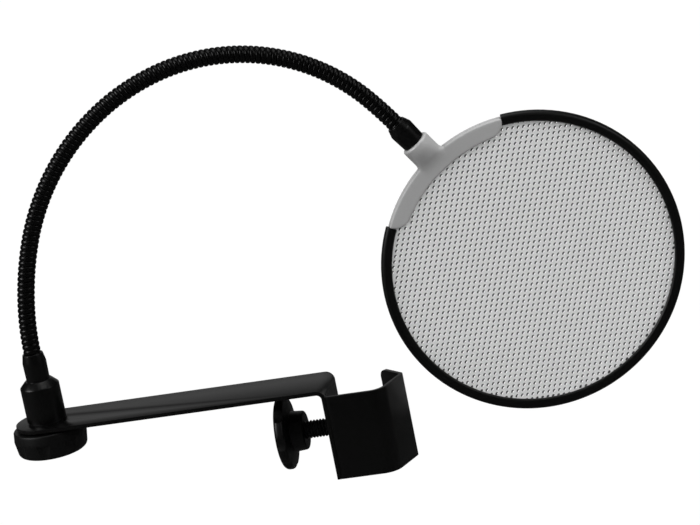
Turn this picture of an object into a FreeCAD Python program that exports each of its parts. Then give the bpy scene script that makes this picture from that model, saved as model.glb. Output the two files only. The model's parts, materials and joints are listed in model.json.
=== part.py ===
import FreeCAD, Part
import math
import os

# Round metal pop filter on a gooseneck, held to a microphone stand by a bent steel clamp.
#
# Everything is built from the swivel axis: X runs along the bar to the clamp, Z is up, and Z = 0 is
# the bar's top face. Export moves the whole assembly so that the origin is the axis of the stand
# tube at the middle of the jaw's height.

V = FreeCAD.Vector

# ---------------------------------------------------------------- driving dimensions (mm, degrees)
# Bracket, one strip of sheet steel
sheet = 2.0                 # thickness
bar_width = 32.2
bar_reach = 146.8           # swivel axis to the jaw side of the leg
bar_bend = 4.5              # outer radius of the bend from bar to leg
jaw_drop = 3.6              # bar's top face to the jaw's top edge
jaw_height = 43.4
jaw_front = 28.3            # leg to the corner of the front and side walls
jaw_side = 24.8             # that corner to the back corner
jaw_lip = 18.2              # back corner to the lip's end
jaw_side_angle = 70.0       # direction of the side wall, from the front wall's
jaw_lip_angle = 134.0       # direction of the lip
leg_bend = 3.5              # outer radii of the jaw's three bends
side_bend = 9.0
back_bend = 3.0
lip_corner = 4.0            # rounded corners of the lip's end
stand_diameter = 20.0       # tube that the jaw is drawn round

# Screw threads, all 3/8-16 UNC, drawn as plain cylinders
thread_diameter = 9.4
nut_flats = 14.3
nut_height = 8.0
thread_clearance = 0.05     # radial, between a screw and the tapped hole it turns in

# Clamp screw and its foot
collar_diameter = 13.5      # drawn-out collar round the tapped hole
collar_height = 2.4
screw_showing = 15.0        # thread between the leg and the knob at rest
pad_standoff = 8.6          # leg to the rubber face at rest
pad_diameter = 12.0
pad_cup_height = 3.4
pad_face_height = 1.6
pad_skirt = 0.8             # rim of the cup that holds the rubber face
nose_diameter = 5.0
nose_length = 2.2
running_gap = 0.3           # axial, between the nose and the cup

# Knobs
knob_diameter = 37.4
knob_draft = 1.2            # taper of the moulded sides, in radius
knob_flutes = 8
flute_depth = 1.5
flute_radius = 6.0
clamp_hub_diameter = 19.6
clamp_hub_height = 6.6
clamp_flange_height = 7.6
clamp_flange_slope = 1.8    # the flange is this much thinner at its rim, in front
knob_floor = 2.0            # plastic behind the screw's head
base_knob_height = 13.2
base_knob_band = 5.0        # plain band above the flutes

# Base of the gooseneck
washer_thickness = 1.0      # under the bar
base_washer_diameter = 26.0
swivel_washer_thickness = 0.6
swivel_washer_diameter = 19.0
socket_diameter = 20.0
socket_height = 21.4
socket_chamfer = 3.2
socket_bore_depth = 11.0
stud_in_socket = 7.5
stud_in_knob = 9.5
grub_diameter = 5.0
grub_inset = 0.3            # a set screw's end below the surface round it
lower_ferrule_diameter = 12.2
lower_ferrule_neck_end = 10.4
lower_ferrule_length = 13.9
lower_ferrule_taper = 0.15  # the foot is this much smaller in radius

# Gooseneck
neck_diameter = 8.7
link_length = 37.6          # between two hinges, and twice each end stretch
link_gap = 0.3              # between a link's ball end and its neighbour's cup
neck_bends = (7.7, 12.7, 18.1, 18.6, 20.2, 21.8, 21.6, 21.1, 4.9)
neck_grip = 8.0             # length of gooseneck inside each ferrule

# Screen
screen_yaw = 15.7           # plane of gooseneck and screen, from the bar's direction
yoke_angle = 123.3          # collar's place on the screen, from the plane's horizontal
edging_diameter = 156.5
edging_width = 5.4
edging_thickness = 5.8
hoop_outer = 152.0
hoop_width = 2.5
hoop_thickness = 2.6
mesh_diameter = 149.4
mesh_thickness = 1.0
mesh_grip = 0.1             # slack of the mesh in the hoop and the yoke
crescent_outer = 153.6
crescent_inner_radius = 73.6  # arc of the inner edge
crescent_inner_offset = 5.9   # its centre lies this far past the screen's centre
crescent_half_span = 31.0
crescent_corner = 8.0
crescent_thickness = 6.0
edging_end_gap = 0.2        # between the edging's ends and the crescent
collar_outer = 15.4
collar_end_radius = 88.3    # screen centre to the collar's mouth
collar_mouth = 0.8          # chamfer at the collar's mouth
collar_root_radius = 78.0   # where the collar starts to run out into the crescent
fairing_end_radius = 68.5
fairing_end_width = 26.0
fairing_inset = 0.4         # the run-out ends this far under the crescent's faces
collar_bore_depth = 9.0
upper_ferrule_diameter = 13.0
upper_ferrule_foot = 12.2
upper_ferrule_length = 13.4
upper_ferrule_neck_end = 10.2
spigot_diameter = 9.6
spigot_length = 8.0
fit_clearance = 0.05        # radial, between a spigot and its bore
yoke_screw_count = 2
yoke_screw_diameter = 2.5
yoke_screw_head = 4.4
yoke_screw_head_height = 1.2
yoke_screw_cover = 0.8      # metal left in front of the yoke screws' tips
yoke_screw_circle = 142.4
yoke_screw_spread = 42.0    # degrees between neighbours

# ---------------------------------------------------------------- sizes that follow from them
half_width = bar_width / 2
jaw_top = -jaw_drop
jaw_bottom = jaw_top - jaw_height
jaw_middle = (jaw_top + jaw_bottom) / 2
leg_outer = bar_reach - sheet
thread_hole_radius = thread_diameter / 2 + thread_clearance
knob_radius = knob_diameter / 2
socket_base = swivel_washer_thickness
socket_top = socket_base + socket_height
neck_start = socket_top + lower_ferrule_length
neck_radius = neck_diameter / 2


# ---------------------------------------------------------------- helpers
def direction(angle):
    """Unit vector in the XY plane at an angle in degrees."""
    return V(math.cos(math.radians(angle)), math.sin(math.radians(angle)), 0)


def left_of(vector):
    """The vector turned a quarter turn to the left in the XY plane."""
    return V(-vector.y, vector.x, 0)


def offset_corner(before, corner, after, distance):
    """Where the two sides of a corner meet when both are moved to their left by a distance."""
    first = (corner - before).normalize()
    second = (after - corner).normalize()
    across = left_of(first) + left_of(second)
    return corner + across * (distance / (1 + first.dot(second)))


def offset_path(points, distance):
    """An open path moved to its left by a distance, with mitred corners."""
    moved = [points[0] + left_of((points[1] - points[0]).normalize()) * distance]
    for before, corner, after in zip(points, points[1:], points[2:]):
        moved.append(offset_corner(before, corner, after, distance))
    moved.append(points[-1] + left_of((points[-1] - points[-2]).normalize()) * distance)
    return moved


def corner_arc(before, corner, after, radius):
    """Tangent arc that rounds a corner, with its two end points."""
    to_before = (before - corner).normalize()
    to_after = (after - corner).normalize()
    half_angle = to_before.getAngle(to_after) / 2
    run = radius / math.tan(half_angle)
    start = corner + to_before * run
    end = corner + to_after * run
    middle_way = (to_before + to_after).normalize()
    crown = corner + middle_way * (radius / math.sin(half_angle) - radius)
    return start, end, Part.Arc(start, crown, end).toShape()


def rounded_path(points, radii):
    """Edges of an open path whose inner corners are rounded; radii has one value per inner corner."""
    edges = []
    last = points[0]
    for before, corner, after, radius in zip(points, points[1:], points[2:], radii):
        if radius > 0:
            start, end, arc = corner_arc(before, corner, after, radius)
            edges += [Part.makeLine(last, start), arc]
            last = end
        else:
            edges.append(Part.makeLine(last, corner))
            last = corner
    edges.append(Part.makeLine(last, points[-1]))
    return edges


def rounded_face(points, radii):
    """Closed outline as a face; radii has one value per point, 0 for a sharp corner."""
    seam = (points[0] + points[-1]) * 0.5
    return Part.Face(Part.Wire(rounded_path([seam] + points + [seam], radii)))


def bent_strip(points, radii, thickness):
    """Plan of a sheet bent along a path of its outer face; the thickness lies to the left."""
    inner_points = offset_path(points, thickness)
    inner_radii = [radius - thickness for radius in radii]
    outer = rounded_path(points, radii)
    inner = rounded_path(inner_points, inner_radii)
    ends = [Part.makeLine(points[0], inner_points[0]), Part.makeLine(points[-1], inner_points[-1])]
    return Part.Face(Part.Wire(Part.__sortEdges__(outer + inner + ends)))


def turned(profile, radii=None):
    """Solid of revolution about Z from (radius, height) pairs, with optional corner radii."""
    points = [V(radius, 0, height) for radius, height in profile]
    face = rounded_face(points, radii or [0] * len(points))
    return face.revolve(V(0, 0, 0), V(0, 0, 1), 360)


def ring(outer, inner, low, high):
    """Flat ring or tube about Z, from its two diameters."""
    return turned([(inner / 2, low), (outer / 2, low), (outer / 2, high), (inner / 2, high)])


def rod(diameter, low, high):
    """Cylinder about Z between two heights."""
    return Part.makeCylinder(diameter / 2, high - low, V(0, 0, low))


def hexagon(flats, low, high):
    """Hexagonal prism about Z."""
    reach = flats / math.sqrt(3)
    corners = [direction(60 * side) * reach + V(0, 0, low) for side in range(7)]
    return Part.Face(Part.makePolygon(corners)).extrude(V(0, 0, high - low))


def along_x(shape, x, y, z):
    """Turn a shape made about Z so that its Z axis points along +X, and move it."""
    placed = shape.copy()
    placed.rotate(V(0, 0, 0), V(0, 1, 0), 90)
    placed.translate(V(x, y, z))
    return placed


# ---------------------------------------------------------------- bracket
jaw_path = [
    V(leg_outer, half_width, 0),
    V(leg_outer, -half_width, 0),
    V(bar_reach + jaw_front, -half_width, 0),
]
jaw_path.append(jaw_path[-1] + direction(jaw_side_angle) * jaw_side)
jaw_path.append(jaw_path[-1] + direction(jaw_lip_angle) * jaw_lip)

# The tube touches the insides of the side wall and the lip.
stand_axis = offset_corner(*jaw_path[2:5], sheet + stand_diameter / 2)
origin = V(stand_axis.x, stand_axis.y, jaw_middle)


def on_screw_axis(shape, x=0):
    """Lay a shape made about Z on the clamp screw's axis, which meets the stand tube's."""
    return along_x(shape, x, stand_axis.y, jaw_middle)


def make_bracket():
    # Bar and leg in side view, drawn in XY and stood up.
    side_points = [V(bar_reach, jaw_bottom, 0), V(bar_reach, 0, 0), V(0, 0, 0)]
    bar_and_leg = bent_strip(side_points, [bar_bend], sheet).extrude(V(0, 0, bar_width))
    bar_and_leg.rotate(V(0, 0, 0), V(1, 0, 0), 90)
    bar_and_leg.translate(V(0, half_width, 0))
    round_end = rod(bar_width, -sheet, 0)
    jaw = bent_strip(jaw_path, [leg_bend, side_bend, back_bend], sheet)
    jaw = jaw.extrude(V(0, 0, jaw_height))
    jaw.translate(V(0, 0, jaw_bottom))
    lip_edges = [
        edge for edge in jaw.Edges
        if abs(edge.Length - sheet) < 0.01
        and (edge.CenterOfMass - V(jaw_path[-1].x, jaw_path[-1].y, edge.CenterOfMass.z)).Length < sheet
    ]
    jaw = jaw.makeFillet(lip_corner, lip_edges)
    collar = on_screw_axis(rod(collar_diameter, 0, collar_height), bar_reach)
    tapped_hole = on_screw_axis(rod(2 * thread_hole_radius, -sheet, collar_height), bar_reach)
    stud_hole = rod(2 * thread_hole_radius, -sheet, 0)
    blank = bar_and_leg.multiFuse([round_end, jaw, collar]).removeSplitter()
    return blank.cut(Part.makeCompound([tapped_hole, stud_hole]))


# ---------------------------------------------------------------- knobs
def fluted(body, low, high):
    """Cut the grip's flutes into a knob made about Z."""
    reach = knob_radius - flute_depth + flute_radius
    places = [direction(360 * turn / knob_flutes) * reach for turn in range(knob_flutes)]
    cutters = [Part.makeCylinder(flute_radius, high - low, place + V(0, 0, low)) for place in places]
    return body.cut(Part.makeCompound(cutters))


def make_clamp_knob():
    """Hub towards +Z, its face at Z = 0, and the flange behind it; the screw's head is inside."""
    flange_front = -clamp_hub_height
    flange_back = flange_front - clamp_flange_height
    hub_radius = clamp_hub_diameter / 2
    flange = turned(
        [(0, flange_back), (knob_radius, flange_back + knob_draft),
         (knob_radius, flange_front - clamp_flange_slope), (hub_radius, flange_front), (0, flange_front)],
        [0, 2.4, 1.8, 0, 0])
    hub = turned(
        [(0, flange_front - 1), (hub_radius + knob_draft / 2, flange_front - 1), (hub_radius, 0), (0, 0)],
        [0, 0, 1.2, 0])
    body = fluted(flange, flange_back - 1, flange_front + 1).fuse(hub)
    head_seat = flange_back + knob_floor
    head_pocket = hexagon(nut_flats, head_seat, head_seat + nut_height)
    screw_hole = rod(thread_diameter, head_seat, 1)
    return body.cut(screw_hole.fuse(head_pocket))


def make_base_knob():
    """Top face at Z = 0; flutes below a plain band; the nut is let in at the top."""
    body = turned(
        [(0, -base_knob_height), (knob_radius - knob_draft, -base_knob_height),
         (knob_radius, -base_knob_band), (knob_radius - knob_draft / 2, 0), (0, 0)],
        [0, 2.6, 0, 0.8, 0])
    body = fluted(body, -base_knob_height - 1, -base_knob_band)
    stud_hole = rod(2 * thread_hole_radius, -stud_in_knob - 1, 0)
    return body.cut(hexagon(nut_flats, -nut_height, 0).fuse(stud_hole))


# ---------------------------------------------------------------- clamp screw and foot
screw_end = bar_reach + pad_standoff - pad_face_height - pad_cup_height - running_gap
knob_face = leg_outer - screw_showing
head_back = knob_face - clamp_hub_height - clamp_flange_height + knob_floor


def make_clamp_screw():
    """Threaded rod with a hexagonal head in the knob and a nose that turns in the foot."""
    thread = rod(thread_diameter, head_back, screw_end)
    head = hexagon(nut_flats, head_back, head_back + nut_height)
    nose = rod(nose_diameter, screw_end, screw_end + running_gap + nose_length)
    return on_screw_axis(thread.multiFuse([head, nose]).removeSplitter())


def make_pad_cup():
    """Turned cup with a bore for the screw's nose at the back and a recess for the rubber."""
    back = bar_reach + pad_standoff - pad_face_height - pad_cup_height
    front = back + pad_cup_height
    body = rod(pad_diameter, back, front + pad_face_height / 2)
    recess = rod(pad_diameter - 2 * pad_skirt, front, front + pad_face_height)
    bore = rod(nose_diameter + 2 * fit_clearance, back, back + nose_length + running_gap)
    return on_screw_axis(body.cut(recess).cut(bore))


def make_pad_face():
    front = bar_reach + pad_standoff
    disc = rod(pad_diameter - 2 * pad_skirt, front - pad_face_height, front)
    return on_screw_axis(disc)


# ---------------------------------------------------------------- base of the gooseneck
def grub_screw(length):
    """Slotted set screw along Z, its outer end at Z = 0."""
    body = rod(grub_diameter, -length, 0)
    slot = Part.makeBox(grub_diameter, 0.8, 1.0, V(-grub_diameter / 2, -0.4, -1.0))
    return body.cut(slot)


def make_base_socket():
    radius = socket_diameter / 2
    body = turned([(0, socket_base), (radius, socket_base), (radius, socket_top - socket_chamfer),
                   (radius - socket_chamfer, socket_top), (0, socket_top)], [0, 0.6, 0.8, 0.8, 0])
    foot_radius = lower_ferrule_diameter / 2 - lower_ferrule_taper
    bore = rod(2 * foot_radius, socket_top - socket_bore_depth, socket_top)
    stud_hole = rod(thread_diameter, socket_base, socket_base + stud_in_socket)
    return body.cut(Part.makeCompound([bore, stud_hole, socket_grub_hole()]))


def at_socket_back(shape):
    """Place a shape made about Z so that its top lies on the socket's far side."""
    placed = shape.copy()
    placed.rotate(V(0, 0, 0), V(1, 0, 0), -90)
    placed.translate(V(0, socket_diameter / 2 - grub_inset, socket_top - socket_bore_depth / 2 - 1.5))
    placed.rotate(V(0, 0, 0), V(0, 0, 1), screen_yaw)
    return placed


def socket_grub_length():
    return socket_diameter / 2 - grub_inset - lower_ferrule_diameter / 2 + lower_ferrule_taper


def socket_grub_hole():
    return at_socket_back(rod(grub_diameter, -socket_grub_length(), 1))


def make_lower_ferrule():
    radius = lower_ferrule_diameter / 2
    foot = radius - lower_ferrule_taper
    spigot_end = socket_top - socket_bore_depth
    body = turned(
        [(0, spigot_end), (foot, spigot_end),
         (foot, socket_top), (radius, neck_start - 4.5), (lower_ferrule_neck_end / 2, neck_start),
         (0, neck_start)],
        [0, 0.4, 0, 2.4, 0.4, 0])
    return body.cut(rod(neck_diameter, neck_start - neck_grip, neck_start))


# ---------------------------------------------------------------- plane of gooseneck and screen
def in_plane(shape):
    """Stand a shape up in the gooseneck's plane: X outwards, Y up, Z towards the front."""
    placed = shape.copy()
    placed.rotate(V(0, 0, 0), V(1, 0, 0), 90)
    placed.rotate(V(0, 0, 0), V(0, 0, 1), screen_yaw)
    return placed


def neck_stations():
    """(start, heading, length, bend) of each stretch of the gooseneck, in its own plane."""
    stations = []
    point = V(0, neck_start, 0)
    heading = 90.0
    for number, bend in enumerate(neck_bends):
        is_end = number in (0, len(neck_bends) - 1)
        length = link_length / 2 if is_end else link_length
        stations.append((point, heading, length, bend))
        chord = 2 * length / math.radians(bend) * math.sin(math.radians(bend) / 2)
        point = point + direction(heading - bend / 2) * chord
        heading -= bend
    stations.append((point, heading, 0.0, 0.0))
    return stations


def bent_rod(start, heading, length, bend):
    """Round bar along an arc that turns to the right."""
    section = Part.Face(Part.Wire(Part.makeCircle(neck_radius, start, direction(heading))))
    centre = start - left_of(direction(heading)) * (length / math.radians(bend))
    return section.revolve(centre, V(0, 0, -1), bend)


def straight_rod(start, heading, length, radius):
    return Part.makeCylinder(radius, length, start, direction(heading))


def make_neck_stretch(number):
    """One stretch: a ball end that sits in the cup of the stretch before it."""
    stations = neck_stations()
    body = bent_rod(*stations[number])
    start, heading = stations[number][:2]
    end, end_heading = stations[number + 1][:2]
    if number == 0:
        body = body.fuse(straight_rod(start, heading + 180, neck_grip, neck_radius))
    else:
        body = body.fuse(Part.makeSphere(neck_radius - 0.05, start))
    if number == len(neck_bends) - 1:
        body = body.fuse(straight_rod(end, end_heading, neck_grip, neck_radius))
    else:
        body = body.cut(Part.makeSphere(neck_radius - 0.05 + link_gap, end))
    return in_plane(body.removeSplitter())


# ---------------------------------------------------------------- screen
# The screen's shapes are drawn about its own centre, with the collar on +Y and the front on +Z.
neck_end, neck_end_heading = neck_stations()[-1][:2]
ferrule_top_radius = collar_end_radius + upper_ferrule_length
screen_centre = neck_end - direction(yoke_angle) * ferrule_top_radius
mesh_slot = mesh_thickness + 2 * mesh_grip


def on_screen(shape):
    placed = shape.copy()
    placed.rotate(V(0, 0, 0), V(0, 0, 1), yoke_angle - 90)
    placed.translate(screen_centre)
    return in_plane(placed)


def radially(shape, radius):
    """Turn a shape made about Z so that its Z axis points out along the collar, and move it there."""
    placed = shape.copy()
    placed.rotate(V(0, 0, 0), V(1, 0, 0), -90)
    placed.translate(V(0, radius, 0))
    return placed


def crescent_outer_point(angle):
    return direction(angle) * (crescent_outer / 2)


def crescent_inner_point(angle):
    """Point of the crescent's inner edge in a direction from the screen's centre."""
    rise = crescent_inner_offset * math.sin(math.radians(angle))
    radius = math.sqrt(crescent_inner_radius ** 2 - crescent_inner_offset ** 2 + rise ** 2) - rise
    return direction(angle) * radius


def make_crescent(low, high):
    """Crescent plate between two heights, with its inner corners rounded."""
    start, end = 90 - crescent_half_span, 90 + crescent_half_span
    arcs = [
        Part.Arc(point(start), point(90), point(end)).toShape()
        for point in (crescent_outer_point, crescent_inner_point)
    ]
    sides = [
        Part.makeLine(crescent_inner_point(angle), crescent_outer_point(angle))
        for angle in (start, end)
    ]
    corner_places = [crescent_inner_point(angle) + V(0, 0, (high - low) / 2) for angle in (start, end)]
    plate = Part.Face(Part.Wire(Part.__sortEdges__(arcs + sides))).extrude(V(0, 0, high - low))
    corners = [
        edge for edge in plate.Edges
        if min((edge.CenterOfMass - place).Length for place in corner_places) < 0.001
    ]
    plate = plate.makeFillet(crescent_corner, corners)
    plate.translate(V(0, 0, low))
    return plate


def across_collar(curve, radius):
    """A curve drawn about the Z axis, stood square to the collar's axis at a radius of the screen."""
    outline = curve.toShape()
    outline.rotate(V(0, 0, 0), V(1, 0, 0), 90)
    outline.translate(V(0, radius, 0))
    return Part.Wire(outline)


def make_fairing(growth):
    """The collar's round root running out into the crescent, grown all round by a clearance."""
    round_end = Part.Circle(V(0, 0, 0), V(0, 0, 1), collar_outer / 2 + growth)
    flat_end = Part.Ellipse(V(0, 0, 0), fairing_end_width / 2 + growth,
                            crescent_thickness / 2 - fairing_inset + growth)
    return Part.makeLoft([across_collar(round_end, collar_root_radius),
                          across_collar(flat_end, fairing_end_radius)], True)


def screen_pocket():
    """Room for the mesh and its hoop inside the yoke."""
    mesh_room = rod(mesh_diameter + 2 * mesh_grip, -mesh_slot / 2, mesh_slot / 2)
    hoop_room = ring(hoop_outer + 2 * mesh_grip, hoop_outer - 2 * hoop_width - 2 * mesh_grip,
                     -hoop_thickness / 2 - mesh_grip, hoop_thickness / 2 + mesh_grip)
    return mesh_room.fuse(hoop_room)


def yoke_screw_places():
    spread = yoke_screw_spread
    first = 90 - spread * (yoke_screw_count - 1) / 2
    return [direction(first + spread * number) * (yoke_screw_circle / 2)
            for number in range(yoke_screw_count)]


def make_yoke():
    front_plate = make_crescent(0, crescent_thickness / 2)
    mouth = collar_outer / 2 - collar_mouth
    collar = radially(
        turned([(0, collar_root_radius), (collar_outer / 2, collar_root_radius),
                (collar_outer / 2, collar_end_radius - collar_mouth), (mouth, collar_end_radius),
                (0, collar_end_radius)]), 0)
    body = front_plate.multiFuse([collar, make_fairing(0)])
    bore = radially(rod(spigot_diameter + 2 * fit_clearance,
                        collar_end_radius - collar_bore_depth, collar_end_radius + 1), 0)
    screw_holes = [
        Part.makeCylinder(yoke_screw_diameter / 2, crescent_thickness / 2 - yoke_screw_cover, place)
        for place in yoke_screw_places()
    ]
    cuts = Part.makeCompound([screen_pocket(), bore, collar_grub_hole()] + screw_holes)
    return body.cut(cuts)


def make_yoke_back():
    plate = make_crescent(-crescent_thickness / 2, 0)
    plate = plate.cut(Part.makeCompound([screen_pocket(), make_fairing(mesh_grip)]))
    for place in yoke_screw_places():
        plate = plate.cut(Part.makeCylinder(yoke_screw_diameter / 2, crescent_thickness,
                                            place - V(0, 0, crescent_thickness / 2)))
        plate = plate.cut(Part.makeCylinder(yoke_screw_head / 2, yoke_screw_head_height,
                                            place - V(0, 0, crescent_thickness / 2)))
    return plate


def make_yoke_screws():
    screws = []
    for place in yoke_screw_places():
        foot = place - V(0, 0, crescent_thickness / 2)
        shank = Part.makeCylinder(yoke_screw_diameter / 2, crescent_thickness - yoke_screw_cover, foot)
        head = Part.makeCylinder(yoke_screw_head / 2, yoke_screw_head_height, foot)
        slot = Part.makeBox(yoke_screw_head, 0.7, 0.7, foot - V(yoke_screw_head / 2, 0.35, 0))
        screws.append(shank.fuse(head).cut(slot))
    return Part.makeCompound(screws)


def make_mesh_screen():
    disc = rod(mesh_diameter, -mesh_thickness / 2, mesh_thickness / 2)
    low = V(0, 0, -mesh_thickness / 2)
    holes = [Part.makeCylinder(yoke_screw_diameter / 2, mesh_thickness, place + low)
             for place in yoke_screw_places()]
    return disc.cut(Part.makeCompound(holes))


def make_screen_hoop():
    half = hoop_thickness / 2
    channel = ring(hoop_outer, hoop_outer - 2 * hoop_width, -half, half)
    return channel.cut(rod(mesh_diameter, -mesh_thickness / 2, mesh_thickness / 2))


def make_rubber_edging():
    outer = edging_diameter / 2
    inner = outer - edging_width
    half = edging_thickness / 2
    points = [V(inner, 0, -half), V(outer, 0, -half), V(outer, 0, half), V(inner, 0, half)]
    section = rounded_face(points, [1.2, 2.5, 2.5, 1.2])
    gap = math.degrees(edging_end_gap / outer)
    opening = 2 * (crescent_half_span + gap)
    edging = section.revolve(V(0, 0, 0), V(0, 0, 1), 360 - opening)
    edging.rotate(V(0, 0, 0), V(0, 0, 1), 90 + opening / 2)
    groove = rod(hoop_outer, -hoop_thickness / 2, hoop_thickness / 2)
    return edging.cut(groove)


def make_upper_ferrule():
    body = turned(
        [(0, collar_end_radius), (upper_ferrule_foot / 2, collar_end_radius),
         (upper_ferrule_diameter / 2, collar_end_radius + upper_ferrule_length - 4.0),
         (upper_ferrule_neck_end / 2, ferrule_top_radius), (0, ferrule_top_radius)],
        [0, 0.3, 2.0, 0.4, 0])
    spigot = rod(spigot_diameter, collar_end_radius - spigot_length, collar_end_radius)
    bore = rod(neck_diameter, ferrule_top_radius - neck_grip, ferrule_top_radius)
    return radially(body.fuse(spigot).cut(bore), 0)


def collar_grub_length():
    return collar_outer / 2 - grub_inset - spigot_diameter / 2


def at_collar_back(shape):
    """Place a shape made about Z so that its top lies on the collar's rear side."""
    placed = shape.copy()
    placed.rotate(V(0, 0, 0), V(1, 0, 0), 180)
    placed.translate(V(0, collar_end_radius - spigot_length / 2, -collar_outer / 2 + grub_inset))
    return placed


def collar_grub_hole():
    return at_collar_back(rod(grub_diameter, -collar_grub_length(), 1))


# ---------------------------------------------------------------- build and write
def build_nodes():
    below_washer = -sheet - washer_thickness
    base_knob = make_base_knob()
    base_knob.translate(V(0, 0, below_washer))
    knob_nut = hexagon(nut_flats, -nut_height, 0).cut(rod(2 * thread_hole_radius, -nut_height, 0))
    knob_nut.translate(V(0, 0, below_washer))
    nodes = {
        "bracket": make_bracket(),
        "clamp_screw": make_clamp_screw(),
        "clamp_knob": on_screw_axis(make_clamp_knob(), knob_face),
        "pad_cup": make_pad_cup(),
        "pad_face": make_pad_face(),
        "base_knob": base_knob,
        "base_knob_nut": knob_nut,
        "base_washer": ring(base_washer_diameter, 2 * thread_hole_radius, below_washer, -sheet),
        "swivel_washer": ring(swivel_washer_diameter, thread_diameter, 0, swivel_washer_thickness),
        "base_stud": rod(thread_diameter, below_washer - stud_in_knob, socket_base + stud_in_socket),
        "base_socket": make_base_socket(),
        "base_set_screw": at_socket_back(grub_screw(socket_grub_length())),
        "lower_ferrule": make_lower_ferrule(),
    }
    last = len(neck_bends) - 1
    for number in range(last + 1):
        name = {0: "neck_root", last: "neck_tip"}.get(number, f"neck_link_{number}")
        nodes[name] = make_neck_stretch(number)
    nodes["upper_ferrule"] = on_screen(make_upper_ferrule())
    nodes["collar_set_screw"] = on_screen(at_collar_back(grub_screw(collar_grub_length())))
    nodes["yoke"] = on_screen(make_yoke())
    nodes["yoke_back"] = on_screen(make_yoke_back())
    nodes["yoke_screws"] = on_screen(make_yoke_screws())
    nodes["mesh_screen"] = on_screen(make_mesh_screen())
    nodes["screen_hoop"] = on_screen(make_screen_hoop())
    nodes["rubber_edging"] = on_screen(make_rubber_edging())
    return nodes


os.makedirs("parts", exist_ok=True)
for name, shape in build_nodes().items():
    shape.translate(origin * -1)
    shape.exportStep(f"parts/{name}.step")
    print(f"{name:18s} {len(shape.Solids)} solid(s)  {shape.Volume:9.1f} mm3  valid {shape.isValid()}")

print(f"swivel axis at {-origin.x:.3f} {-origin.y:.3f}, bar's top at {-origin.z:.3f}")
for number, (point, heading, _, _) in enumerate(neck_stations()):
    place = in_plane(Part.Vertex(point)).Point - origin
    print(f"neck station {number}: {place.x:.3f} {place.y:.3f} {place.z:.3f} heading {heading:.1f}")
centre = in_plane(Part.Vertex(screen_centre)).Point - origin
print(f"screen centre {centre.x:.3f} {centre.y:.3f} {centre.z:.3f}")
print(f"neck heading at its end {neck_end_heading:.1f}")
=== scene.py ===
# %% [markdown]
# # A round metal-mesh pop filter on a gooseneck
#
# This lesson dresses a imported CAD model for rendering. The model is loaded as a fixed frame, and
# each part that the eye rests on gets a finer mesh and a finish of its own. Sizes are written in
# millimetres and turned to metres by one factor.

# %% Load the frame
import json
import math

import bpy
from mathutils import Matrix, Vector


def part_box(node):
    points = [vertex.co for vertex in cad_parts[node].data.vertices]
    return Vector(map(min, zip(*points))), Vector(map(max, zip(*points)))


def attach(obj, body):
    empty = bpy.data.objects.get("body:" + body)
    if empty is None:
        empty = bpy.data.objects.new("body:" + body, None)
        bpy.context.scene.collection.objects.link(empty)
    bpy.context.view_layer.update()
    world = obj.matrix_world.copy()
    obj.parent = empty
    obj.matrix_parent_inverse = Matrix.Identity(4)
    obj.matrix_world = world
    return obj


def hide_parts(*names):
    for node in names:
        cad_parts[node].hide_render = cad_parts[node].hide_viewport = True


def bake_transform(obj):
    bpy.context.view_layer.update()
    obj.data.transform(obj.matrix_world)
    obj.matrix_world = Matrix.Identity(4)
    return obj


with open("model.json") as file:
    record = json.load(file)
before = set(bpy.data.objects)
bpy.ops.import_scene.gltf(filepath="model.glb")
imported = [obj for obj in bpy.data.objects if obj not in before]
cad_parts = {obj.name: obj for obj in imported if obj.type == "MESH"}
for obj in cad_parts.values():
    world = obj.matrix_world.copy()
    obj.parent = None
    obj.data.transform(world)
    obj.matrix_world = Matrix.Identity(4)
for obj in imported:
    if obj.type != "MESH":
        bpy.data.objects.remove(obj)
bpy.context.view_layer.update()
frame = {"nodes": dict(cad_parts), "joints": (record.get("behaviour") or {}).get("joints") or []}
nodes = frame["nodes"]
joint_places = {joint["name"]: Vector(joint["pos_m"])
                for joint in frame["joints"] if "pos_m" in joint}
mm = 0.001

# %% [markdown]
# ## Two planes to build in
#
# The gooseneck and the screen share one upright plane, turned 15.7 degrees from the bar. Shapes are
# built flat, with X outwards, Y up and Z towards the front, and one matrix stands them up. The
# screen's matrix has its origin at the screen's centre, the gooseneck's at the swivel axis.

# %% The plane's matrices
screen_yaw = math.radians(15.7)
outwards = Vector((math.cos(screen_yaw), math.sin(screen_yaw), 0))
upwards = Vector((0, 0, 1))
frontwards = outwards.cross(upwards)
swivel = joint_places["neck_swivel"]


def upright(origin):
    """Matrix of the plane of gooseneck and screen, with its origin at a point."""
    turn = Matrix((outwards, upwards, frontwards)).transposed().to_4x4()
    return Matrix.Translation(origin) @ turn


low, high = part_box("mesh_screen")
screen_centre = (low + high) / 2
screen_plane = upright(screen_centre)
neck_plane = upright(swivel)
print("screen centre", [round(value, 4) for value in screen_centre])

# %% [markdown]
# ## Small helpers for modelling
#
# An operator acts on everything that is selected, so each step starts by deselecting all of it. One
# helper chooses vertices, edges or faces by their place, and one applies every modifier in order.

# %% Modelling helpers
def begin(add_primitive, name, **settings):
    """Add a primitive with nothing else selected and name it."""
    bpy.ops.object.select_all(action="DESELECT")
    add_primitive(**settings)
    piece = bpy.context.object
    piece.name = name
    piece.data.name = name
    return piece


def choose(piece, test, kind="VERT"):
    """In edit mode, select only the vertices, edges or faces whose every vertex passes a test."""
    bpy.ops.mesh.select_mode(type=kind)
    bpy.ops.mesh.select_all(action="DESELECT")
    bpy.ops.object.mode_set(mode="OBJECT")
    mesh = piece.data
    passed = [test(vertex.co) for vertex in mesh.vertices]
    parts = {"VERT": mesh.vertices, "EDGE": mesh.edges, "FACE": mesh.polygons}[kind]
    for part in parts:
        corners = [part.index] if kind == "VERT" else part.vertices
        part.select = all(passed[corner] for corner in corners)
    bpy.ops.object.mode_set(mode="EDIT")


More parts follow.
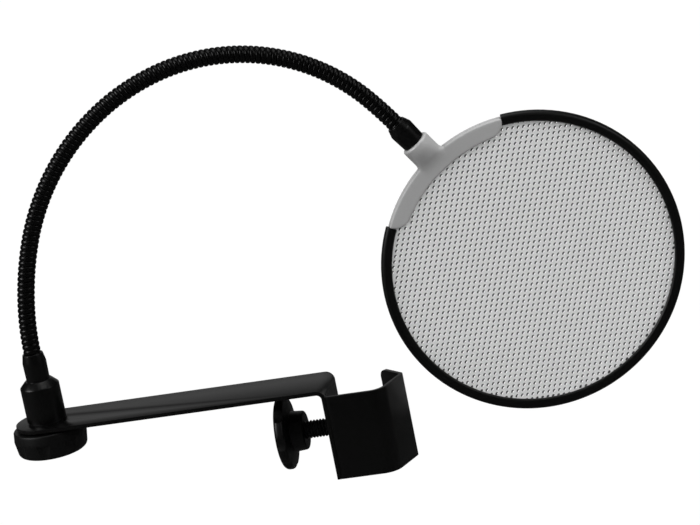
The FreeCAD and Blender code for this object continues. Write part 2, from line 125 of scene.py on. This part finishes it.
def only(piece):
    """Make a piece the one selected and active object."""
    bpy.ops.object.select_all(action="DESELECT")
    piece.select_set(True)
    bpy.context.view_layer.objects.active = piece


def settle(piece, matrix=None):
    """Apply the modifiers, move the mesh by a matrix and leave the object at the origin."""
    only(piece)
    for modifier in list(piece.modifiers):
        bpy.ops.object.modifier_apply(modifier=modifier.name)
    bpy.ops.object.transform_apply(location=True, rotation=True, scale=True)
    if matrix is not None:
        piece.data.transform(matrix)
    piece.data.update()


def paint(piece, finish):
    """Give a piece one finish and no other."""
    piece.data.materials.clear()
    piece.data.materials.append(finish)


def count_triangles(piece):
    """Number of triangles in a piece's mesh."""
    piece.data.calc_loop_triangles()
    return len(piece.data.loop_triangles)


# %% [markdown]
# ## Colours and shader nodes
#
# A colour is read from a screen as sRGB, but the renderer counts light linearly, so one function
# turns the hex code to linear values. One more adds a node, sets it and wires it in one call.

# %% Material helpers
def linear(code):
    """sRGB hex code to linear RGBA."""
    channels = [int(code[place:place + 2], 16) / 255 for place in (1, 3, 5)]
    return [c / 12.92 if c <= 0.04045 else ((c + 0.055) / 1.055) ** 2.4 for c in channels] + [1]


def add_node(owner, kind, values=None, links=None, **settings):
    """Add a node, set its properties, and set and link its inputs by name or number."""
    made = owner.node_tree.nodes.new(kind)
    for name, value in settings.items():
        setattr(made, name, value)
    for name, value in (values or {}).items():
        made.inputs[name].default_value = value
    for name, source in (links or {}).items():
        owner.node_tree.links.new(source, made.inputs[name])
    return made


def new_finish(name, colour, roughness, metallic=0.0, ior=1.5):
    """Material whose constant values sit on the shader's own sockets."""
    material = bpy.data.materials.new(name)
    material.use_nodes = True
    material.node_tree.nodes.clear()
    shader = add_node(material, "ShaderNodeBsdfPrincipled", {
        "Base Color": linear(colour), "Roughness": roughness, "Metallic": metallic, "IOR": ior})
    add_node(material, "ShaderNodeOutputMaterial", links={"Surface": shader.outputs["BSDF"]})
    return material, shader


def grain(material, shader, size_mm, height_mm, colours, roughness_range):
    """Fine noise of a real size that drives bump, a slight change of colour and of roughness."""
    places = add_node(material, "ShaderNodeTexCoord")
    noise = add_node(material, "ShaderNodeTexNoise", {"Scale": 1 / (size_mm * mm), "Detail": 3.0},
                     {"Vector": places.outputs["Object"]})
    tint = add_node(material, "ShaderNodeMix",
                    {"A": linear(colours[0]), "B": linear(colours[1])},
                    {"Factor": noise.outputs["Fac"]}, data_type="RGBA")
    gloss = add_node(material, "ShaderNodeMapRange",
                     {"To Min": roughness_range[0], "To Max": roughness_range[1]},
                     {"Value": noise.outputs["Fac"]})
    bump = add_node(material, "ShaderNodeBump", {"Strength": 1.0, "Distance": height_mm * mm},
                    {"Height": noise.outputs["Fac"]})
    wires = material.node_tree.links
    wires.new(tint.outputs["Result"], shader.inputs["Base Color"])
    wires.new(gloss.outputs["Result"], shader.inputs["Roughness"])
    wires.new(bump.outputs["Normal"], shader.inputs["Normal"])


# %% [markdown]
# ## The finishes
#
# Most of the object is black, yet no two blacks are alike: powder coat on the sheet steel is
# semi-gloss with a faint orange peel, moulded nylon is duller with a spark-eroded grain, and the
# gooseneck's enamel is glossy. The casting is a satin silver lacquer, the screen is bright metal.
# Each finish is a shader with its plain values, and one noise then varies it at a real size.

# %% Black finishes
# Powder coat: 0.9 mm orange peel, which gives the flat bar its soft, slightly uneven sheen.
bracket_coat, shader = new_finish("black_powder_coat", "#030303", 0.32)
grain(bracket_coat, shader, 0.9, 0.004, ("#020202", "#050505"), (0.29, 0.36))

# Moulded nylon: 0.5 mm spark-eroded grain, coarser than the real 0.1 mm so that it shows.
knob_plastic, shader = new_finish("black_moulded_nylon", "#040404", 0.42)
grain(knob_plastic, shader, 0.5, 0.02, ("#030303", "#060606"), (0.38, 0.5))

# Enamel on turned steel: smooth, with 2 mm patches of slightly different gloss.
socket_enamel, shader = new_finish("satin_black_enamel", "#030303", 0.3)
grain(socket_enamel, shader, 2.0, 0.006, ("#020202", "#050505"), (0.26, 0.36))

# Enamel on coiled wire: glossier, so that each turn of the wire carries a point of light.
neck_enamel, shader = new_finish("gloss_black_enamel_on_wire", "#030303", 0.28, ior=1.4)
grain(neck_enamel, shader, 1.6, 0.01, ("#020202", "#040404"), (0.24, 0.36))

# Zinc plating dyed black: a thin metal film with a dull sparkle on the thread.
black_zinc, shader = new_finish("black_zinc_plate", "#1c1c1d", 0.32, metallic=0.7)
grain(black_zinc, shader, 0.6, 0.01, ("#171718", "#232325"), (0.28, 0.42))

# Extruded rubber: smooth and soft, with a broad highlight.
edging_rubber, shader = new_finish("black_extruded_rubber", "#040404", 0.4)
grain(edging_rubber, shader, 1.2, 0.01, ("#030303", "#060606"), (0.36, 0.48))

# Black nylon of the washers, and the pad's matt rubber.
washer_nylon, shader = new_finish("black_sheet_nylon", "#070707", 0.5)
grain(washer_nylon, shader, 0.6, 0.01, ("#060606", "#090909"), (0.46, 0.56))
pad_rubber, shader = new_finish("black_moulded_rubber", "#141414", 0.7)
grain(pad_rubber, shader, 0.5, 0.03, ("#121212", "#191919"), (0.64, 0.78))
print("black finishes:", bracket_coat.name, knob_plastic.name, socket_enamel.name, neck_enamel.name)

# %% Metal finishes
# Silver lacquer on die-cast zinc: a satin grey with a very fine flake.
cast_silver, shader = new_finish("satin_silver_lacquer", "#a2a2a2", 0.4, metallic=0.2)
grain(cast_silver, shader, 0.7, 0.006, ("#9e9e9e", "#a7a7a7"), (0.36, 0.46))

# Tinned mesh sheet: bright metal, softened by the drawing of the louvres.
mesh_metal, shader = new_finish("bright_pierced_steel", "#f0f0f0", 0.34, metallic=0.25)
grain(mesh_metal, shader, 1.1, 0.01, ("#ebebeb", "#f5f5f5"), (0.28, 0.4))

# The inside of each louvre under its lip: a dark grey of painted shade that stands for the shadow
# under the lip, not a colour the metal has.
louvre_painted_shade, shader = new_finish("painted_shade_under_lip", "#4a4a4a", 0.6, metallic=0.2)
grain(louvre_painted_shade, shader, 0.8, 0.01, ("#424242", "#525252"), (0.55, 0.7))

# Bright zinc on small steel parts.
plain_steel, shader = new_finish("bright_zinc_plate", "#b9babb", 0.3, metallic=1.0)
grain(plain_steel, shader, 0.8, 0.008, ("#b0b1b2", "#c3c4c6"), (0.26, 0.38))
print("metal finishes:", cast_silver.name, mesh_metal.name, plain_steel.name)

# %% [markdown]
# ## CAD parts with softened edges
#
# The CAD gives sharp edges, but bent sheet, turned parts and mouldings all have small rounded
# ones, and those catch a thin line of light. Each visible part is copied, its loose triangles are
# merged, flat faces are joined again, and a bevel a few tenths of a millimetre wide goes on every
# sharp edge.

# %% Softened copies
seam_gap = 0.002 * mm
flat_angle = math.radians(0.4)
sharp_angle = math.radians(32)


def merged_copy(node, name):
    """A copy of a CAD node, its loose triangles joined into one mesh, left in edit mode."""
    piece = bpy.data.objects.new(name, nodes[node].data.copy())
    bpy.context.scene.collection.objects.link(piece)
    only(piece)
    bpy.ops.object.mode_set(mode="EDIT")
    bpy.ops.mesh.select_all(action="SELECT")
    bpy.ops.mesh.remove_doubles(threshold=seam_gap)
    return piece


def soften(node, body, finish, width_mm, segments=2):
    """A copy of a CAD node with rounded edges, which stands for that node."""
    piece = merged_copy(node, node + "_soft")
    bpy.ops.mesh.dissolve_limited(angle_limit=flat_angle)
    bpy.ops.object.mode_set(mode="OBJECT")
    bevel = piece.modifiers.new("edges", "BEVEL")
    bevel.width = width_mm * mm
    bevel.segments = segments
    bevel.limit_method = "ANGLE"
    bevel.angle_limit = sharp_angle
    settle(piece)
    bpy.ops.object.shade_smooth_by_angle(angle=math.radians(30))
    paint(piece, finish)
    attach(piece, body)
    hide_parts(node)
    print(piece.name, count_triangles(piece), "triangles")


soften("bracket", "bracket", bracket_coat, 0.35)
soften("base_knob", "base_knob", knob_plastic, 0.5, segments=3)
soften("clamp_knob", "clamp_screw", knob_plastic, 0.5, segments=3)
soften("base_socket", "neck_base", socket_enamel, 0.35)
soften("lower_ferrule", "neck_base", socket_enamel, 0.3)
soften("upper_ferrule", "screen", socket_enamel, 0.3)
soften("pad_cup", "clamp_foot", plain_steel, 0.2)
soften("pad_face", "clamp_foot", pad_rubber, 0.3)
soften("base_washer", "base_washer", washer_nylon, 0.15)
soften("swivel_washer", "neck_base", washer_nylon, 0.12)

# %% CAD nodes that stay as they are
finish_of = {
    "base_knob_nut": plain_steel, "base_stud": black_zinc, "base_set_screw": black_zinc,
    "collar_set_screw": black_zinc, "yoke_screws": plain_steel, "screen_hoop": plain_steel,
    "rubber_edging": edging_rubber,
}
for node, finish in finish_of.items():
    paint(nodes[node], finish)
    only(nodes[node])
    bpy.ops.object.shade_smooth_by_angle(angle=math.radians(35))
print("repainted", len(finish_of), "nodes")

# %% [markdown]
# ## The yoke casting
#
# The real yoke is one die casting: its round collar melts into the crescent plate with no edge
# between them. A voxel remesh joins the CAD's collar, fairing and plate into one skin. What stands
# prouder than the plate is pressed flatter towards the screen, so that the collar dies away, and
# rounds of smoothing give the rest a casting's rounded edges.

# %% Yoke and its back plate
# Only what stands more than plate_half from the screen's middle plane is pressed. The pressing
# is strongest at press_from from the screen's centre, where press_least of the height is kept, and
# ends at press_to. Beyond collar_begins the collar is smoothed less than the plate.
collar_begins = 79.0
press_from, press_to, press_least = 71.0, 86.0, 0.12
plate_half = 3.0
to_plane = screen_plane.inverted()


def cast(node, voxel_mm, rounds, collar_rounds):
    """A remeshed and smoothed copy of a CAD node; the plate is smoothed more than the collar."""
    piece = merged_copy(node, node + "_cast")
    bpy.ops.object.mode_set(mode="OBJECT")
    remesh = piece.modifiers.new("skin", "REMESH")
    remesh.mode = "VOXEL"
    remesh.voxel_size = voxel_mm * mm
    settle(piece)
    for vertex in piece.data.vertices:
        place = to_plane @ vertex.co
        share = min(1, max(0, (place.xy.length / mm - press_from) / (press_to - press_from)))
        kept = press_least + (1 - press_least) * share * share * (3 - 2 * share)
        proud = abs(place.z) - plate_half * mm
        if proud > 0:
            place.z = math.copysign(plate_half * mm + proud * kept, place.z)
            vertex.co = screen_plane @ place
    plate = piece.vertex_groups.new(name="plate")
    plate.add([vertex.index for vertex in piece.data.vertices
               if (vertex.co - screen_centre).length < collar_begins * mm], 1, "REPLACE")
    for name, group, iterations in (("plate", "plate", rounds), ("all", "", collar_rounds)):
        smooth = piece.modifiers.new(name, "SMOOTH")
        smooth.vertex_group = group
        smooth.iterations = iterations
        smooth.factor = 0.5
    settle(piece)
    bpy.ops.object.shade_smooth()
    paint(piece, cast_silver)
    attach(piece, "screen")
    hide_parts(node)
    print(piece.name, count_triangles(piece), "triangles")


cast("yoke", 0.32, 30, 3)
cast("yoke_back", 0.4, 6, 0)

# %% [markdown]
# ## The gooseneck
#
# A gooseneck is round wire wound tight into a tube. Its outer skin is modelled as the outer part
# of the wire's round section, swept along a screw: one turn climbs by one pitch, so every turn
# meets the next. The straight coil is bent along a smooth curve through the neck's hinges, and cut
# into eight pieces, one over each hinge.

# %% The gooseneck's line
# Each stretch turns by so many degrees; the first and the last are half as long as the others.
neck_bends = (7.7, 12.7, 18.1, 18.6, 20.2, 21.8, 21.6, 21.1, 4.9)
link_length = 37.6
hinge_count = len(neck_bends) - 1
neck_start = 35.9       # height of the lower end above the swivel's origin
neck_overlap = 2.0      # length hidden in each ferrule


def direction(angle):
    """Unit vector in the neck's plane at an angle, in radians, from the outward axis."""
    return Vector((math.cos(angle), math.sin(angle), 0))


def neck_point(run):
    """Place, in mm in the neck's plane, and heading in degrees at a run of so many mm."""
    place, heading, left = Vector((0, neck_start, 0)), 90.0, run
    if run < 0:
        return place + Vector((0, run, 0)), heading
    for number, bend in enumerate(neck_bends):
        length = link_length / 2 if number in (0, hinge_count) else link_length
        share = min(1.0, left / length)
        turned = math.radians(bend * share)
        chord = length / math.radians(bend) * 2 * math.sin(turned / 2)
        place = place + direction(math.radians(heading) - turned / 2) * chord
        heading -= bend * share
        left -= length * share
        if left <= 1e-9:
            return place, heading
    return place + direction(math.radians(heading)) * left, heading


neck_length = link_length * hinge_count
first_hinge = neck_plane @ (neck_point(link_length / 2)[0] * mm)
hinge_gap = (first_hinge - joint_places["neck_bend_1"]).length
print("neck", neck_length, "mm long; first hinge found within", round(hinge_gap / mm, 4), "mm")

# %% The coil, straight
wire_pitch = 2.7
wire_radius = 1.33
wire_rise = 0.75        # how far each turn stands out of the groove between turns
coil_radius = 4.5
coil_steps = 24
coil_turns = math.ceil((neck_length + 2 * neck_overlap) / wire_pitch)
groove_radius = coil_radius - wire_rise
coil = begin(bpy.ops.mesh.primitive_circle_add, "coil", vertices=14, radius=wire_radius * mm)
coil.data.transform(Matrix.Rotation(math.radians(90), 4, "X"))
coil.data.transform(Matrix.Diagonal((wire_rise / wire_radius, 1, 1, 1)))
coil.data.transform(Matrix.Translation((groove_radius * mm, 0, 0)))
bpy.ops.object.mode_set(mode="EDIT")
choose(coil, lambda place: place.x < (groove_radius - 0.05) * mm)
bpy.ops.mesh.delete(type="VERT")
bpy.ops.object.mode_set(mode="OBJECT")
top = max(vertex.co.z for vertex in coil.data.vertices)
bottom = min(vertex.co.z for vertex in coil.data.vertices)
bpy.ops.object.mode_set(mode="EDIT")
choose(coil, lambda place: place.z > top - 0.0001 * mm)
bpy.ops.mesh.extrude_region_move(
    TRANSFORM_OT_translate={"value": (0, 0, wire_pitch * mm - (top - bottom))})
bpy.ops.object.mode_set(mode="OBJECT")
winding = coil.modifiers.new("winding", "SCREW")
winding.axis = "Z"
winding.angle = math.radians(360)
winding.screw_offset = wire_pitch * mm
winding.steps = winding.render_steps = coil_steps
winding.iterations = coil_turns
settle(coil)
bpy.ops.object.mode_set(mode="EDIT")
bpy.ops.mesh.select_all(action="SELECT")
bpy.ops.mesh.remove_doubles(threshold=0.005 * mm)
bpy.ops.mesh.normals_make_consistent(inside=False)
bpy.ops.object.mode_set(mode="OBJECT")
print("coil of", coil_turns, "turns,", count_triangles(coil), "triangles")

# %% Bend the coil along the neck
# The line has one point at each end and one at each hinge. Its handles are a third of the way to
# the next point, which keeps it close to the arcs, and 1 mm long at the two ends.
path_data = bpy.data.curves.new("neck_line", "CURVE")
path_data.dimensions = "3D"
path_data.resolution_u = 32
spline = path_data.splines.new("BEZIER")
runs = [-neck_overlap, 0] + [link_length * (number + 0.5) for number in range(hinge_count)] + [
    neck_length, neck_length + neck_overlap + wire_pitch]
spline.bezier_points.add(len(runs) - 1)
for number, run in enumerate(runs):
    place, heading = neck_point(run)
    along = direction(math.radians(heading))
    before = (run - runs[number - 1]) / 3 if number else 1.0
    after = (runs[number + 1] - run) / 3 if number + 1 < len(runs) else 1.0
    point = spline.bezier_points[number]
    point.handle_left_type = point.handle_right_type = "FREE"
    point.co = neck_plane @ (place * mm)
    point.handle_left = neck_plane @ ((place - along * before) * mm)
    point.handle_right = neck_plane @ ((place + along * after) * mm)
neck_line = bpy.data.objects.new("neck_line", path_data)
bpy.context.scene.collection.objects.link(neck_line)
bending = coil.modifiers.new("bending", "CURVE")
bending.object = neck_line
bending.deform_axis = "POS_Z"
settle(coil)
bpy.data.objects.remove(neck_line)
print("bent coil, highest point", round(max(vertex.co.z for vertex in coil.data.vertices), 4))

# %% Cut the coil into eight skins
def cut(piece, point, normal, keep_front):
    """Keep the part of a piece on one side of a plane."""
    only(piece)
    bpy.ops.object.mode_set(mode="EDIT")
    bpy.ops.mesh.select_all(action="SELECT")
    bpy.ops.mesh.bisect(plane_co=point, plane_no=normal,
                        clear_inner=keep_front, clear_outer=not keep_front)
    bpy.ops.object.mode_set(mode="OBJECT")


def neck_frame(run):
    """World place and direction of the neck at a run."""
    place, heading = neck_point(run)
    along = neck_plane.to_3x3() @ direction(math.radians(heading))
    return neck_plane @ (place * mm), along.normalized()


blend_margin = 7.0      # a length in from each end of a skin; the places start and end that it gives are not used
links = range(1, hinge_count)
neck_nodes = ["neck_root"] + [f"neck_link_{number}" for number in links] + ["neck_tip"]
remaining = coil
for number in range(1, hinge_count + 1):
    if number < hinge_count:
        skin = bpy.data.objects.new(f"neck_skin_{number}", remaining.data.copy())
        bpy.context.scene.collection.objects.link(skin)
        point, along = neck_frame(link_length * number)
        cut(skin, point, along, keep_front=False)
        cut(remaining, point, along, keep_front=True)
    else:
        skin = remaining
        skin.name = f"neck_skin_{number}"
    only(skin)
    bpy.ops.object.shade_smooth()
    paint(skin, neck_enamel)
    start = neck_frame(link_length * (number - 1) + blend_margin)[0]
    end = neck_frame(link_length * number - blend_margin)[0]
    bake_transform(skin)
    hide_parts(*(neck_nodes[0:2] if number == 1 else [neck_nodes[number]]))
    print(skin.name, count_triangles(skin), "triangles")

# %% [markdown]
# ## The pierced screen
#
# The screen is thin sheet pierced like a fine grater. Each opening is a slanted slot whose lower
# right lip is raised, while the metal on the other side dips under it, so that air passes but no
# straight line of sight does. One cell is modelled from a plane: its border stays flat so that
# cells tile, two inset rings make the slot, the lip is lifted and the flap is extruded down and
# under it. Two array modifiers repeat the cell on a slanting lattice. The vertices that only join
# flat faces are then dissolved, which keeps some 2300 cells a light mesh.

# %% One cell of the screen
slot_turn = math.radians(40)
cell_right = Matrix.Rotation(slot_turn, 3, "Z") @ Vector((2.77, -0.21, 0))
cell_up = Matrix.Rotation(slot_turn, 3, "Z") @ Vector((1.00, 2.68, 0))
cell = begin(bpy.ops.mesh.primitive_plane_add, "mesh_screen_sheet", size=1)
cell_shape = Matrix((cell_right * mm, cell_up * mm, Vector((0, 0, mm)))).transposed()
cell.data.transform(cell_shape.to_4x4())
bpy.ops.object.mode_set(mode="EDIT")
bpy.ops.mesh.select_all(action="SELECT")
bpy.ops.mesh.subdivide(number_cuts=1)
bpy.ops.mesh.select_mode(type="FACE")
bpy.ops.mesh.select_all(action="SELECT")
bpy.ops.mesh.dissolve_faces()
# Each ring has a width and a share by which its inner edge is drawn to a circle.
for width, roundness in ((0.25, 0.75), (0.35, 1.0)):
    bpy.ops.mesh.inset(thickness=width * mm, depth=0)
    bpy.ops.transform.tosphere(value=roundness)
bpy.ops.object.mode_set(mode="OBJECT")
print("cell of", len(cell.data.polygons), "flat faces")

# %% Slot, flap and lip
slot_half_width, slot_half_length = 0.7, 1.0
flap_depth = 0.55
flap_shift = 0.95       # how far the flap reaches under the lip
lip_height = 0.5
lip_share = 0.55        # the part of its height that the lip has at its ends
lip_begins = 0.08       # the flap's side of the slot is on the left of this, the lip's on the right


def in_slot(place):
    """Whether a place is on the slot's rim or in it."""
    return (abs(place.x) < 1.04 * slot_half_width * mm
            and abs(place.y) < 1.04 * slot_half_length * mm)


slot_face = min(cell.data.polygons, key=lambda face: face.center.length)
slot_size = max(cell.data.vertices[corner].co.length for corner in slot_face.vertices)
bpy.ops.object.mode_set(mode="EDIT")
bpy.ops.transform.resize(value=(slot_half_width * mm / slot_size,
                                slot_half_length * mm / slot_size, 1),
                         center_override=(0, 0, 0))
bpy.ops.mesh.delete(type="ONLY_FACE")
choose(cell, lambda place: in_slot(place) and place.x < lip_begins * mm, "EDGE")
bpy.ops.mesh.extrude_edges_move(
    TRANSFORM_OT_translate={"value": (flap_shift * mm, 0, -flap_depth * mm)})
bpy.ops.transform.resize(value=(0.45, 0.9, 0.8),
                         center_override=(0.36 * mm, 0, -flap_depth * mm))
choose(cell, lambda place: in_slot(place) and place.x > lip_begins * mm and place.z > -0.01 * mm)
bpy.ops.transform.translate(value=(0.02 * mm, 0, lip_share * lip_height * mm))
choose(cell, lambda place: place.z > 0.1 * mm and abs(place.y) < 0.3 * mm)
bpy.ops.transform.translate(value=(0.02 * mm, 0, (1 - lip_share) * lip_height * mm))
bpy.ops.object.mode_set(mode="OBJECT")
print("cell of", len(cell.data.polygons), "faces")

# %% The cell's finish and painted shade, and the vertices that no bend needs
cell.data.materials.append(mesh_metal)
cell.data.materials.append(louvre_painted_shade)
# Faces below the sheet, the flap under each lip, get the dark grey of painted shade.
for face in cell.data.polygons:
    face.material_index = 1 if face.center.z < -0.05 * mm else 0
corner_distance = 1.6   # nearer to the middle than any corner of the cell
sloping = {corner for face in cell.data.polygons if abs(face.normal.z) < 0.9999
           for corner in face.vertices}
level = [vertex.index for vertex in cell.data.vertices
         if vertex.index not in sloping and vertex.co.length < corner_distance * mm]
cell.vertex_groups.new(name="level").add(level, 1, "REPLACE")
print(len(level), "vertices that no bend needs")

# %% Repeat the cell and trim it to the screen
columns, rows = 58, 58
visible_radius = 72.4   # beyond it the sheet lies in the hoop, pressed flatter
sheet_radius = 74.4
for name, count, step in (("across", columns, cell_right), ("up", rows, cell_up)):
    array = cell.modifiers.new(name, "ARRAY")
    array.count = count
    array.use_relative_offset = False
    array.use_constant_offset = True
    array.constant_offset_displace = step * mm
    array.use_merge_vertices = True
    array.merge_threshold = 0.01 * mm
corner_shift = (cell_right * (columns - 1) + cell_up * (rows - 1)) * (-0.5 * mm)
settle(cell, Matrix.Rotation(-slot_turn, 4, "Z") @ Matrix.Translation(corner_shift))
bpy.ops.object.mode_set(mode="EDIT")
choose(cell, lambda place: place.xy.length > visible_radius * mm)
bpy.ops.transform.resize(value=(1, 1, 0.4), center_override=(0, 0, 0))
choose(cell, lambda place: place.xy.length > sheet_radius * mm)
bpy.ops.mesh.delete(type="VERT")
bpy.ops.mesh.select_all(action="DESELECT")
bpy.ops.object.vertex_group_select()
bpy.ops.mesh.dissolve_verts()
bpy.ops.object.mode_set(mode="OBJECT")
wall = cell.modifiers.new("wall", "SOLIDIFY")
wall.thickness = 0.2 * mm
wall.offset = 0
settle(cell, screen_plane)
bpy.ops.object.shade_smooth_by_angle(angle=math.radians(50))
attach(cell, "screen")
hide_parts("mesh_screen")
print(cell.name, count_triangles(cell), "triangles")

# %% [markdown]
# ## The clamp screw
#
# The screw is a 3/8-16 thread: sixteen turns to the inch. The V of one thread is swept along a
# screw path round a plain core, whose nose turns in the pad's cup.

# %% Threaded clamp screw
thread_pitch = 25.4 / 16
thread_radius = 4.7
thread_depth = 0.85
core_radius = thread_radius - thread_depth
nose_length, nose_radius = 2.5, 2.5
plain_end = 3.0         # length of the screw that has no thread
low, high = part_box("clamp_screw")
screw_length = (high.x - low.x) / mm
screw = begin(bpy.ops.mesh.primitive_circle_add, "clamp_thread", vertices=4, radius=1.0 * mm)
screw.data.transform(Matrix.Rotation(math.radians(90), 4, "X"))
screw.data.transform(Matrix.Diagonal((thread_depth, 1, thread_pitch / 2, 1)))
screw.data.transform(Matrix.Translation((core_radius * mm, 0, 0)))
bpy.ops.object.mode_set(mode="EDIT")
choose(screw, lambda place: place.x < (core_radius - 0.1) * mm)
bpy.ops.mesh.delete(type="VERT")
choose(screw, lambda place: place.x > (thread_radius - 0.1) * mm)
bpy.ops.mesh.bevel(offset=0.16 * mm, affect="VERTICES")
bpy.ops.object.mode_set(mode="OBJECT")
turns = math.floor((screw_length - plain_end) / thread_pitch)
winding = screw.modifiers.new("winding", "SCREW")
winding.axis = "Z"
winding.angle = math.radians(360)
winding.screw_offset = thread_pitch * mm
winding.steps = winding.render_steps = 40
winding.iterations = turns
settle(screw, Matrix.Translation((0, 0, thread_pitch * mm)))
print("thread of", turns, "turns")

# %% The screw's core
core_length = screw_length - nose_length
core = begin(bpy.ops.mesh.primitive_cylinder_add, "screw_core", vertices=40,
             radius=(core_radius + 0.02) * mm, depth=core_length * mm,
             location=(0, 0, core_length / 2 * mm))
bpy.ops.object.mode_set(mode="EDIT")
choose(core, lambda place: place.z > 0, "FACE")
bpy.ops.mesh.inset(thickness=(core_radius - nose_radius) * mm)
bpy.ops.mesh.extrude_region_move(TRANSFORM_OT_translate={"value": (0, 0, nose_length * mm)})
bpy.ops.object.mode_set(mode="OBJECT")
settle(core)
only(core)
screw.select_set(True)
bpy.context.view_layer.objects.active = screw
bpy.ops.object.join()
lay_along_x = Matrix.Translation((low.x, (low.y + high.y) / 2, (low.z + high.z) / 2))
settle(screw, lay_along_x @ Matrix.Rotation(math.radians(90), 4, "Y"))
bpy.ops.object.mode_set(mode="EDIT")
bpy.ops.mesh.select_all(action="SELECT")
bpy.ops.mesh.remove_doubles(threshold=seam_gap)
bpy.ops.mesh.normals_make_consistent(inside=False)
bpy.ops.object.mode_set(mode="OBJECT")
bpy.ops.object.shade_smooth_by_angle(angle=math.radians(35))
paint(screw, black_zinc)
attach(screw, "clamp_screw")
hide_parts("clamp_screw")
print(screw.name, count_triangles(screw), "triangles")

# %% [markdown]
# ## Floor, light and camera
#
# A plain pale floor and a few large, soft lamps show the shapes without harsh shadows. Light Path
# makes the floor white to the camera alone. To a gloss, floor and world are nearly dark, because
# black enamel and rubber would mirror a white room and turn grey.

# %% Floor
# The floor is 40 m wide and lies 0.3 m below the clamp.
floor = begin(bpy.ops.mesh.primitive_plane_add, "floor", size=40, location=(0, 0, -0.3))
floor_paint, shader = new_finish("studio_floor_card", "#2c2c2c", 0.9)
light_path = add_node(floor_paint, "ShaderNodeLightPath")
glow = add_node(floor_paint, "ShaderNodeEmission", {"Color": (1, 1, 1, 1), "Strength": 1.04})
# A little of the card's own shading stays in the white, and keeps a faint shadow.
white = add_node(floor_paint, "ShaderNodeMixShader", {"Fac": 0.97},
                 {1: shader.outputs["BSDF"], 2: glow.outputs["Emission"]})
seen = add_node(floor_paint, "ShaderNodeMixShader", links={
    "Fac": light_path.outputs["Is Camera Ray"],
    1: shader.outputs["BSDF"], 2: white.outputs["Shader"]})
output = [item for item in floor_paint.node_tree.nodes if item.type == "OUTPUT_MATERIAL"][0]
floor_paint.node_tree.links.new(seen.outputs["Shader"], output.inputs["Surface"])
paint(floor, floor_paint)
print("floor", floor_paint.name)

# %% World
world_light, world_in_gloss = 1.62, 0.015
world = bpy.data.worlds.new("studio")
bpy.context.scene.world = world
world.use_nodes = True
world.node_tree.nodes.clear()
path = add_node(world, "ShaderNodeLightPath")
strength = add_node(world, "ShaderNodeMapRange",
                    {"To Min": world_light, "To Max": world_in_gloss},
                    {"Value": path.outputs["Is Glossy Ray"]})
background = add_node(world, "ShaderNodeBackground", {"Color": (1, 1, 1, 1)},
                      {"Strength": strength.outputs["Result"]})
add_node(world, "ShaderNodeOutputWorld", links={"Surface": background.outputs["Background"]})
print("world of strength", world_light)

# %% Lamps
aim = Vector((-0.0004, -0.0043, 0.0842))


def soft_lamp(name, place, size, power):
    """A square area lamp that faces the object."""
    data = bpy.data.lights.new(name, "AREA")
    data.shape = "SQUARE"
    data.size = size
    data.energy = power
    lamp = bpy.data.objects.new(name, data)
    lamp.location = place
    lamp.rotation_euler = (aim - Vector(place)).to_track_quat("-Z", "Y").to_euler()
    lamp.visible_camera = False
    bpy.context.scene.collection.objects.link(lamp)


soft_lamp("key_lamp", (-1.6, -0.8, 1.0), 0.8, 14)
soft_lamp("fill_lamp", (1.8, -0.5, 1.2), 0.9, 4)
soft_lamp("top_lamp", (0.1, 0.2, 1.7), 1.2, 5)
soft_lamp("back_lamp", (-0.4, 2.4, 0.75), 2.0, 3)

# %% Camera
# A long lens from 2 m, a little from the right and above, and tilted.
camera_distance = 2.0
camera_side = math.radians(11.518)
camera_height = math.radians(15.124)
camera_roll = math.radians(-11.324)
camera_data = bpy.data.cameras.new("camera")
camera_data.sensor_width = 36
camera_data.lens = 208.04
camera_data.clip_end = 100
camera = bpy.data.objects.new("camera", camera_data)
bpy.context.scene.collection.objects.link(camera)
towards = Vector((-math.sin(camera_side) * math.cos(camera_height),
                  math.cos(camera_side) * math.cos(camera_height), -math.sin(camera_height)))
facing = towards.to_track_quat("-Z", "Y").to_matrix()
camera.matrix_world = Matrix.Translation(aim - towards * camera_distance) @ (
    facing @ Matrix.Rotation(camera_roll, 3, "Z")).to_4x4()
bpy.context.scene.camera = camera
bpy.context.scene.view_settings.view_transform = "Standard"
print("camera at", [round(value, 3) for value in camera.location])
